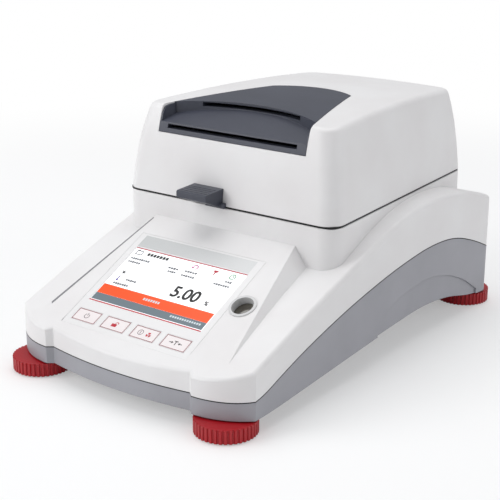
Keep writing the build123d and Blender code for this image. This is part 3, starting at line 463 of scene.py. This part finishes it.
# the glass is a tilted plate, so its length up the slope follows from its box
glass_low, glass_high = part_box("touch_glass")
tilt_cos = cos(PANEL_TILT)
tilt_sin = sin(PANEL_TILT)
reach_y = glass_high.y - glass_low.y
reach_z = glass_high.z - glass_low.z
glass_long = (reach_y * tilt_cos - reach_z * tilt_sin) / cos(2 * PANEL_TILT)
screen_origin = Vector(((glass_low.x + glass_high.x) / 2, glass_low.y, glass_high.z - glass_long * tilt_sin))


def on_screen(x, up, out):
    """Point on the panel: millimetres across from the display's middle, up it, and out of its glass."""
    back = up * tilt_cos - out * tilt_sin
    rise = up * tilt_sin + out * tilt_cos
    return screen_origin + MM * Vector((x, back, rise))


def ink(name, colour, glow=0.0):
    """Print or lit pixels of one flat colour, a little uneven, as halftone is."""
    material, tree, shader = new_material(name)
    place = add(tree, "TexCoord").outputs["Object"]
    dots = add(tree, "TexNoise", Vector=place, Scale=1 / (HALFTONE_MM * MM), Detail=1.0).outputs["Fac"]
    shade = [channel * HALFTONE_DARK for channel in srgb(colour)[:3]] + [1.0]
    tint = add(tree, "MixRGB", Fac=dots, Color1=srgb(colour), Color2=shade)
    tree.links.new(tint.outputs["Color"], shader.inputs["Base Color"])
    if glow:
        tree.links.new(tint.outputs["Color"], shader.inputs["Emission Color"])
        shader.inputs["Emission Strength"].default_value = glow
    worn(tree, shader, roughness=0.35, grain_mm=0.4, depth_mm=0.002)
    return material


def box_line(x, up, wide, high):
    """Outline of a rectangle by its middle and its size."""
    return [(x - wide / 2, up - high / 2), (x + wide / 2, up - high / 2),
            (x + wide / 2, up + high / 2), (x - wide / 2, up + high / 2)]


def mark_row(x, up, pitch, wide, high, each_side):
    """Outlines of equal marks in a row, as many on each side of its middle."""
    return [box_line(x + pitch * k, up, wide, high) for k in range(-each_side, each_side + 1)]


def printed(name, outlines, material, out=PRINT_OUT, thick=PRINT_T, body="base"):
    """Thin flat shapes on the panel, in one piece."""
    vertices = []
    faces = []
    for k, outline in enumerate(outlines):
        level = out + PRINT_STEP * (k % PRINT_LEVELS)
        prism(vertices, faces, outline, level, level + thick, on_screen)
    mesh_piece(name, vertices, faces, material, body)


# lit pixels: clear flat colours that glow a little, while grey and black ones don't
pixels_red = ink("pixels_crimson_lit", "#B81C34", glow=0.05)
pixels_orange = ink("pixels_orange_lit", "#F8520F", glow=0.1)
pixels_slate = ink("pixels_slate_lit", "#6C7A82", glow=0.05)
pixels_grey = ink("pixels_mid_grey_lit", "#6A6D73")
pixels_black = ink("pixels_black_lit", "#0D0D0E")
printed("screen_edge_lines", [box_line(*LOW_EDGE_LINE), box_line(*TOP_EDGE_LINE)], pixels_red)
printed("screen_orange_bar", [box_line(*ORANGE_BAND)], pixels_orange)
printed("screen_slate_bar", [box_line(*SLATE_BAND)], pixels_slate)
menu_marks = []
for x, up, wide, high in MENU_ROWS:
    cells = max(2, round(wide / MENU_CELL))
    for k in range(cells):
        middle = x - wide / 2 + (k + 0.5) * wide / cells
        tall = high * (MENU_LOW + MENU_STEP * (k % 3))
        menu_marks.append(box_line(middle, up, wide / cells * MENU_FILL, tall))
printed("screen_menu_marks", menu_marks, pixels_grey)
printed("screen_title_marks", mark_row(*TITLE_ROW), pixels_black)

# Signs on the screen page. Small lit shapes for the page's functions: a folder, a round
# arrow, a tool, a clock, a lamp and a thermometer, and pale marks in the two bands.
FOLDER = (-44.9, 52.0, 5.4, 3.6)
FOLDER_LINE = 0.6
FOLDER_TAB = (-46.6, 54.2, 2.2, 0.8)
BAND_ROWS = [(-2.6, 13.2, 2.2, 1.5, 2.0, 3), (33.6, 5.6, 2.1, 1.4, 1.6, 6)]
BAND_ROWS_OUT = 0.08
# each arc is its middle across and up, radius, start and end in degrees, line, and steps if not 20
ARROW_ARC = (8.2, 51.6, 2.0, -60, 170, 0.8)
ARROW_HEAD = [(5.0, 51.6), (7.6, 51.6), (6.2, 49.8)]
TOOL_SHAFT = (26.0, 51.2, 0.9, 4.6)
TOOL_HEAD = [(24.0, 53.4), (28.2, 53.4), (27.4, 51.6), (24.8, 51.6)]
CLOCK_RIM = (41.4, 51.4, 2.2, 0, 360, 0.6, 28)
CLOCK_HANDS = [(41.4, 52.1, 0.5, 1.8), (42.0, 51.4, 1.4, 0.5)]
LAMP_DOT = (-43.2, 31.2, 0.6, 0, 360, 1.1)
LAMP_RAYS = 8
LAMP_RAY_R = 2.0
LAMP_RAY_W = 0.55
THERMOMETER_TUBE = (-43.6, 25.6, 0.8, 3.6)
THERMOMETER_BULB = (-43.6, 23.4, 0.45, 0, 360, 0.9)


def arc_line(x, up, radius, start, end, width, steps=20):
    """Outline of a band along an arc, angles in degrees, anticlockwise from start."""
    turns = [radians(start + (end - start) * k / steps) for k in range(steps + 1)]
    outer = radius + width / 2
    inner = radius - width / 2
    outside = [(x + outer * cos(t), up + outer * sin(t)) for t in turns]
    inside = [(x + inner * cos(t), up + inner * sin(t)) for t in reversed(turns)]
    return outside + inside


def frame_lines(x, up, wide, high, line):
    """Four strips round a rectangle."""
    return [box_line(x, up - high / 2, wide + line, line), box_line(x, up + high / 2, wide + line, line),
            box_line(x - wide / 2, up, line, high - line), box_line(x + wide / 2, up, line, high - line)]


printed("screen_folder_mark", frame_lines(*FOLDER, FOLDER_LINE) + [box_line(*FOLDER_TAB)], pixels_grey)
pixels_pale = ink("pixels_pale_lit", "#C9D2D8", glow=0.2)
band_marks = [mark for row in BAND_ROWS for mark in mark_row(*row)]
printed("screen_bar_marks", band_marks, pixels_pale, out=BAND_ROWS_OUT)
pixels_magenta = ink("pixels_magenta_lit", "#B04A86", glow=0.15)
printed("screen_curve_arrow", [arc_line(*ARROW_ARC), ARROW_HEAD], pixels_magenta)
printed("screen_tool_mark", [box_line(*TOOL_SHAFT), TOOL_HEAD], pixels_red)
pixels_green = ink("pixels_green_lit", "#2F8F5B", glow=0.15)
clock = [arc_line(*CLOCK_RIM)] + [box_line(*hand) for hand in CLOCK_HANDS]
printed("screen_clock_mark", clock, pixels_green)
lamp_sign = [arc_line(*LAMP_DOT)]
for k in range(LAMP_RAYS):
    turn = radians(360 / LAMP_RAYS * k)
    across = LAMP_DOT[0] + LAMP_RAY_R * cos(turn)
    up = LAMP_DOT[1] + LAMP_RAY_R * sin(turn)
    lamp_sign.append(box_line(across, up, LAMP_RAY_W, LAMP_RAY_W))
printed("screen_lamp_mark", lamp_sign, pixels_black)
pixels_violet = ink("pixels_violet_lit", "#5B4A9A", glow=0.15)
thermometer = [box_line(*THERMOMETER_TUBE), arc_line(*THERMOMETER_BULB)]
printed("screen_thermometer", thermometer, pixels_violet)

# Reading on the screen page. Large digits and a small percent sign in black pixels, as
# the instrument shows a result.
READING = [
    # words, left, foot, height
    ("5.00", 6.4, 21.5, 10.6),
    ("%", 36.6, 21.7, 4.0),
]
STROKE_GROWTH = 0.026      # heavier strokes, as a share of the letter size
DIGIT_HALF_T = 0.02
READING_OUT = 0.03
joined = bmesh.new()
for words, left, foot, high in READING:
    text = bpy.data.curves.new("digits", "FONT")
    text.body = words
    text.size = 1.0
    text.extrude = DIGIT_HALF_T
    text.offset = STROKE_GROWTH
    carrier = bpy.data.objects.new("digits", text)
    scene.collection.objects.link(carrier)
    bpy.context.view_layer.update()
    drawn = bpy.data.meshes.new_from_object(carrier)
    heights = [v.co.y for v in drawn.vertices]
    text_left = min(v.co.x for v in drawn.vertices)
    scale = high / (max(heights) - min(heights))
    for vertex in drawn.vertices:
        across = (vertex.co.x - text_left) * scale + left
        above = (vertex.co.y - min(heights)) * scale + foot
        vertex.co = on_screen(across, above, READING_OUT + vertex.co.z)
    joined.from_mesh(drawn)
    bpy.data.objects.remove(carrier)
reading_mesh = bpy.data.meshes.new("screen_reading")
joined.to_mesh(reading_mesh)
joined.free()
show_piece("screen_reading", reading_mesh, pixels_black, "base")

# Grey window printed on the overlay above the display. The flat ink is darker at its
# left and grows lighter to the right.
WINDOW = (-0.4, 63.6, 102.0, 11.6)
WINDOW_OUT = 0.21
WINDOW_T = 0.04
WINDOW_DARK_X = -0.056     # metres across, as the object lies
WINDOW_LIGHT_X = 0.048
window_ink, tree, shader = new_material("film_window_grey_printed")
place = add(tree, "TexCoord").outputs["Object"]
across = add(tree, "SeparateXYZ", Vector=place).outputs["X"]
ramp = add(tree, "MapRange", Value=across, From_Min=WINDOW_DARK_X, From_Max=WINDOW_LIGHT_X,
           To_Min=0.0, To_Max=1.0)
tint = add(tree, "MixRGB", Fac=ramp.outputs["Result"], Color1=srgb("#C6C8C8"), Color2=srgb("#D9DADA"))
tree.links.new(tint.outputs["Color"], shader.inputs["Base Color"])
worn(tree, shader, roughness=0.3, grain_mm=0.3, depth_mm=0.003)
printed("overlay_window", [box_line(*WINDOW)], window_ink, out=WINDOW_OUT, thick=WINDOW_T)

# Groove along the panel's left edge. The moulding falls away there into a shaded valley, whose
# dark line is painted shadow: a thin dull grey strip laid along the crest.
GROOVE_FRONT = (-78.1, -11.4)
GROOVE_REAR = (-60.2, 88.0)
GROOVE_FRONT_W = 1.5
GROOVE_REAR_W = 0.9
GROOVE_OUT = 0.15
GROOVE_T = 0.2
groove_line = [GROOVE_FRONT, (GROOVE_FRONT[0] + GROOVE_FRONT_W, GROOVE_FRONT[1] - GROOVE_FRONT_W),
               (GROOVE_REAR[0] + GROOVE_REAR_W, GROOVE_REAR[1]), GROOVE_REAR]
# painted shadow: a dull grey line standing in for the shade beyond the panel's crest
groove_painted_shadow = moulded("painted_groove_shadow_grey", "#86868A", "#7E7E82", roughness=0.6, grain_mm=0.6, edge_mm=0.1)
printed("panel_groove_painted_shadow", [groove_line], groove_painted_shadow, out=GROOVE_OUT, thick=GROOVE_T)

# Keys. Domed polyester film over a cap and a switch, each printed with a thin dark red
# frame, a faint rose ground and a plain pictogram.
KEY_X = {"power": -40.5, "lock": -13.5, "stop": 13.5, "tare": 40.5}
KEY_UP = -14.2
KEY_OUT = 0.21
KEY_FRAME = (20.4, 9.8, 0.4) # width, height, line
# parts of the pictograms, placed from the middle of their key
POWER_ARC = (0, 0, 2.0, -235, 55, 0.5)
POWER_BAR = (0, 1.5, 0.5, 2.4)
LOCK_BODY = (-0.7, -0.8, 4.4, 2.6)
LOCK_SHACKLE = (0.9, 0.8, 1.3, 0, 180, 0.5)
STOP_RING = (-3.9, 0.2, 2.1, 0, 360, 0.45, 28)
STOP_BAR = (-3.9, 0.2, 0.5, 2.6)
PETAL = (3.4, -0.2, 1.2)   # across, up, radius
PETAL_TURNS = (90, 210, 330)
PETAL_SPREAD = 38
PETAL_W = 1.7
TARE_STEM = (0, -0.2, 0.6, 3.0)
TARE_BAR = (0, 1.5, 3.0, 0.6)
TARE_TAIL_X = 4.3
TARE_TAIL = (2.2, 0.5)     # length and line
TARE_HEAD_X = 3.5
TARE_TIP_X = 1.9
TARE_HEAD_HALF = 1.0
# printed film: pale rose with a tight soft highlight
key_film = moulded("key_film_rose_printed", "#F1EAEA", "#EEE6E6", roughness=0.34,
                   grain_mm=0.3, depth_mm=0.003, edge_mm=0.3)
finish_nodes(key_film, *["key_" + key for key in KEY_X])
# printed inks: flat, without a glow
ink_frame = ink("ink_dark_red_printed", "#8E3B44")
ink_red = ink("ink_red_printed", "#C02838")
ink_grey = ink("ink_grey_printed", "#8B7F82")
ink_dark = ink("ink_charcoal_printed", "#3A3436")


def on_key(key, part):
    """A part of a pictogram, moved from the middle of its key to its place on the panel."""
    return [KEY_X[key] + part[0], KEY_UP + part[1], *part[2:]]


petals = []
for turn in PETAL_TURNS:
    petal = arc_line(*on_key("stop", PETAL), turn - PETAL_SPREAD, turn + PETAL_SPREAD, PETAL_W, steps=8)
    petals.append(petal)
tare_sign = [box_line(*on_key("tare", TARE_STEM)), box_line(*on_key("tare", TARE_BAR))]
for side in (-1, 1):
    base_x = KEY_X["tare"] + side * TARE_HEAD_X
    tip_x = KEY_X["tare"] + side * TARE_TIP_X
    tare_sign.append(box_line(*on_key("tare", (side * TARE_TAIL_X, 0, *TARE_TAIL))))
    tare_sign.append([(base_x, KEY_UP + side * TARE_HEAD_HALF), (tip_x, KEY_UP),
                      (base_x, KEY_UP - side * TARE_HEAD_HALF)])
key_signs = {
    "power": ([arc_line(*on_key("power", POWER_ARC)), box_line(*on_key("power", POWER_BAR))], ink_grey),
    "lock": ([box_line(*on_key("lock", LOCK_BODY)), arc_line(*on_key("lock", LOCK_SHACKLE))], ink_red),
    "stop": (petals, ink_red),
    "tare": (tare_sign, ink_dark),
}
stop_ring = [arc_line(*on_key("stop", STOP_RING)), box_line(*on_key("stop", STOP_BAR))]
printed("key_stop_ring", stop_ring, ink_grey, out=KEY_OUT, body="key_stop")
for key, (sign, colour) in key_signs.items():
    outline = frame_lines(KEY_X[key], KEY_UP, *KEY_FRAME)
    printed("key_%s_frame" % key, outline, ink_frame, out=KEY_OUT, body="key_" + key)
    printed("key_%s_sign" % key, sign, colour, out=KEY_OUT, body="key_" + key)

# Bubble level. A vial of amber liquid closed by glass, sunk in a moulded ring, with a
# black circle printed on it.
LEVEL_CIRCLE = (65.5, 29.6, 3.4, 0, 360, 0.35, 36)
LEVEL_CIRCLE_OUT = -4.74   # on the vial, which lies this far under the level of the display
LIQUID_MM = 9
# pale grey satin, a shade darker than the housing
trim_plastic = moulded("abs_pale_grey_level_trim", "#D6D6D6", "#CFCFCF", roughness=0.4, edge_mm=0.3)
finish_nodes(trim_plastic, "level_ring")
# dark amber under a clear coat that mirrors the softboxes
vial_glass, tree, shader = new_material("level_glass_amber_filled")
place = add(tree, "TexCoord").outputs["Object"]
depth = add(tree, "TexNoise", Vector=place, Scale=1 / (LIQUID_MM * MM), Detail=1.0).outputs["Fac"]
tint = add(tree, "ValToRGB", Fac=depth)
tint.color_ramp.elements[0].color = srgb("#4B4740")
tint.color_ramp.elements[1].color = srgb("#5D584C")
tree.links.new(tint.outputs["Color"], shader.inputs["Base Color"])
worn(tree, shader, roughness=0.08, grain_mm=2.0, depth_mm=0.004)
shader.inputs["Coat Weight"].default_value = 1.0
shader.inputs["Coat Roughness"].default_value = 0.03
finish_nodes(vial_glass, "level_vial")
printed("level_circle", [arc_line(*LEVEL_CIRCLE)], ink_dark, out=LEVEL_CIRCLE_OUT)

# Levelling feet. Red ABS hand wheels with upright ribs round the rim, on zinc-plated
# steel studs, each over a black rubber pad.
FEET = ["front_left", "front_right", "rear_left", "rear_right"]
BRUSH_LONG = 60            # how much longer than wide a brushed line is
BRUSH_DEPTH_MM = 0.01
METAL_EDGE_MM = 0.25


def brushed(name, colour, shade, roughness, line_mm, along):
    """Brushed or turned metal: fine lines along one axis, in its relief, its gloss and its tone."""
    material, tree, shader = new_material(name)
    stretch = [1 / BRUSH_LONG if axis == along else 1 for axis in "XYZ"]
    lines = worn(tree, shader, roughness, line_mm, BRUSH_DEPTH_MM, METAL_EDGE_MM, stretch)
    tint = add(tree, "MixRGB", Fac=lines, Color1=srgb(colour), Color2=srgb(shade))
    tree.links.new(tint.outputs["Color"], shader.inputs["Base Color"])
    shader.inputs["Metallic"].default_value = 1.0
    return material


# saturated red with a soft highlight on each rib
red_abs = moulded("abs_red_moulded", "#B5141F", "#A9111C", roughness=0.38, edge_mm=0.3)
finish_nodes(red_abs, *["foot_wheel_" + foot for foot in FEET])
# nearly black and dull
pad_rubber = moulded("rubber_black_moulded", "#1C1C1D", "#151516", roughness=0.7, grain_mm=0.9, edge_mm=0.4)
finish_nodes(pad_rubber, *["foot_pad_" + foot for foot in FEET])
# grey metal; its turned lines are about 0.1 mm apart, drawn coarser so that they show
zinc_steel = brushed("steel_zinc_plated", "#B9BABC", "#A2A3A6", roughness=0.34, line_mm=0.5, along="Z")
finish_nodes(zinc_steel, *["foot_stud_" + foot for foot in FEET])

# Weighing chamber. A moulded deck of black glass-filled polyester, dull and finely
# textured, lies round a stainless well with the pan support, pan handler, draft shield
# and spun aluminium pan inside.
black_pbt = moulded("polyester_black_glass_filled", "#232426", "#1C1D1F", roughness=0.5,
                    grain_mm=0.6, depth_mm=0.02)
finish_nodes(black_pbt, "chamber_tray")
# bright metal with lines from the brush, drawn coarser than they are
stainless = brushed("stainless_steel_brushed", "#C4C4C2", "#ABABA9", roughness=0.3, line_mm=0.4, along="X")
finish_nodes(stainless, "chamber_well", "well_floor", "pan_handler", "pan_support")
# paler and softer than the steel
aluminium_satin = brushed("aluminium_satin_spun", "#D3D4D6", "#C2C3C6", roughness=0.32,
                          line_mm=0.5, along="Y")
finish_nodes(aluminium_satin, "sample_pan", "draft_shield")

# Heater in the lid. A spun reflector and an aluminium inner cover, with a clear pane
# held by a steel ring under a ring-shaped halogen lamp in ceramic holders.
GLASS_IOR = 1.46
SMEAR_DEPTH_MM = 0.003
# polished metal: a bright, slightly blurred mirror
mirror_aluminium = brushed("aluminium_polished_reflector", "#E2E2E0", "#D6D6D4", roughness=0.16,
                           line_mm=0.8, along="Y")
finish_nodes(mirror_aluminium, "reflector")
finish_nodes(aluminium_satin, "lid_liner")
finish_nodes(stainless, "glass_retainer", "temperature_sensor")


def clear_glass(name, colour, roughness, smear_mm):
    """Clear glass with a faint smear in its gloss."""
    material, tree, shader = new_material(name)
    worn(tree, shader, roughness, smear_mm, SMEAR_DEPTH_MM)
    shader.inputs["Base Color"].default_value = srgb(colour)
    shader.inputs["Transmission Weight"].default_value = 1.0
    shader.inputs["IOR"].default_value = GLASS_IOR
    return material


# clear glass: sharp reflections, with a faint smear from the hand
quartz = clear_glass("quartz_glass_clear", "#FDFDFB", roughness=0.03, smear_mm=12)
finish_nodes(quartz, "halogen_lamp")
borosilicate = clear_glass("borosilicate_pane_clear", "#FCFDFC", roughness=0.03, smear_mm=18)
finish_nodes(borosilicate, "protective_glass")
# glazed ceramic: cream, with a glassy highlight over it
steatite = moulded("steatite_glazed", "#E6E1D6", "#DDD7CA", roughness=0.25,
                   grain_mm=1.2, edge_mm=0.3, coat=0.5)
finish_nodes(steatite, "lamp_holders")

# Filament of the halogen lamp. A coiled tungsten wire hangs in the middle of the quartz
# tube and follows its open ring. It looks like a fine grey-brown spring.
FILAMENT_R = 34.0          # middle of the lamp's ring
COIL_R = 1.3
WIRE_R = 0.3
COIL_TURNS = 84
COIL_STEPS = 8
COIL_GAP = 62.0            # degrees left open at the ring's ends, a little more than the tube's
COIL_GAP_AT = 90           # the gap is at the rear
tungsten = brushed("tungsten_coiled_wire", "#8F8B86", "#7C7873", roughness=0.4, line_mm=0.5, along="Z")
lamp_low, lamp_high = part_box("halogen_lamp")
pan_low, pan_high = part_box("sample_pan")
ring_x = (pan_low.x + pan_high.x) / 2
ring_y = (pan_low.y + pan_high.y) / 2
ring_middle = Vector((ring_x, ring_y, (lamp_low.z + lamp_high.z) / 2))
coil_steps = COIL_TURNS * COIL_STEPS
coil_points = []
for step in range(coil_steps + 1):
    around = radians(COIL_GAP_AT + COIL_GAP / 2 + (360 - COIL_GAP) * step / coil_steps)
    wound = 2 * pi * step / COIL_STEPS
    outward = Vector((cos(around), sin(around), 0))
    offset = outward * cos(wound) + Vector((0, 0, sin(wound)))
    point = ring_middle + outward * FILAMENT_R * MM + offset * COIL_R * MM
    lift = Vector((0, 0, WIRE_R * MM))
    side = (point - ring_middle).normalized() * WIRE_R * MM
    coil_points += [point + side, point + lift, point - side, point - lift]
coil_faces = tube_faces(0, coil_steps + 1)
mesh_piece("lamp_filament", coil_points, coil_faces, tungsten, "lid")

# Hinges of the lid, and the screws under the base. Moulded brackets on the housing and
# steel knuckles on the lid turn on ground steel pins.
finish_nodes(black_pbt, "hinge_brackets")
finish_nodes(zinc_steel, "lid_knuckles", "hinge_pins", "housing_screws")

# Connectors in the rear panel. A black three-pin inlet, and plated metal shells for the
# data ports. The serial port has a black insert with nine gold-plated pins in two rows.
SERIAL_FACE_W = 16.4
SERIAL_FACE_H = 7.6
SERIAL_PIN_PITCH = 2.77
SERIAL_PIN_W = 1.0
SERIAL_PIN_ROWS = ((1, 5), (-1, 4)) # upper row of five, lower row of four
INSERT_ROOT = 0.1
INSERT_PROUD = 0.3
PIN_ROOT = 0.05
PIN_PROUD = 0.6
finish_nodes(black_pbt, "power_inlet")
finish_nodes(zinc_steel, "serial_port", "usb_ports")
serial_low, serial_high = [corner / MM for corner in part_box("serial_port")]
face_x = (serial_low.x + serial_high.x) / 2
face_y = serial_high.y
face_z = (serial_low.z + serial_high.z) / 2
insert = [((face_x - SERIAL_FACE_W / 2, face_y - INSERT_ROOT, face_z - SERIAL_FACE_H / 2),
           (face_x + SERIAL_FACE_W / 2, face_y + INSERT_PROUD, face_z + SERIAL_FACE_H / 2))]
blocks("serial_insert", insert, black_pbt, "base")
pins = []
for row, count in SERIAL_PIN_ROWS:
    for k in range(count):
        x = face_x + (k - (count - 1) / 2) * SERIAL_PIN_PITCH
        z = face_z + row * SERIAL_PIN_PITCH / 2
        pins.append(((x - SERIAL_PIN_W / 2, face_y + INSERT_PROUD - PIN_ROOT, z - SERIAL_PIN_W / 2),
                     (x + SERIAL_PIN_W / 2, face_y + PIN_PROUD, z + SERIAL_PIN_W / 2)))
# small warm yellow points of metal
gold_pins = brushed("brass_gold_plated", "#D9B55E", "#C7A14C", roughness=0.3, line_mm=0.5, along="Y")
blocks("serial_pins", pins, gold_pins, "base")

# Inside the base. A folded steel chassis with the milled weighing cell, the boards on
# their standoffs, and a boxed power supply.
TRACK_MM = 5               # spacing of the copper tracks
TRACK_EDGE = 0.05
TRACK_CLEAR = 0.08
# galvanised sheet: dull grey metal with long rolling lines
folded_steel = brushed("steel_sheet_galvanised", "#B4B6B8", "#9C9EA1", roughness=0.45, line_mm=1.2, along="X")
finish_nodes(folded_steel, "chassis", "heat_shield", "power_supply", "board_standoffs")
# milled aluminium: brighter, with cutter lines along it
milled_aluminium = brushed("aluminium_milled", "#CBCCCE", "#B8B9BC", roughness=0.28, line_mm=0.6, along="X")
finish_nodes(milled_aluminium, "load_cell", "load_cell_block")
# board laminate under green solder mask, with paler lines over its copper tracks
green_laminate, tree, shader = new_material("glass_epoxy_green_masked")
place = add(tree, "TexCoord").outputs["Object"]
tracks = add(tree, "TexVoronoi", {"feature": "DISTANCE_TO_EDGE"}, Vector=place, Scale=1 / (TRACK_MM * MM))
mask = add(tree, "ValToRGB", Fac=tracks.outputs["Distance"])
for stop, position, code in zip(mask.color_ramp.elements, (TRACK_EDGE, TRACK_CLEAR), ("#2C7A4B", "#1C5A36")):
    stop.position = position
    stop.color = srgb(code)
tree.links.new(mask.outputs["Color"], shader.inputs["Base Color"])
worn(tree, shader, roughness=0.35, grain_mm=0.8, depth_mm=0.02, edge_mm=0.2)
finish_nodes(green_laminate, "main_board", "display_board", "key_board")
finish_nodes(black_pbt, "lcd_module")
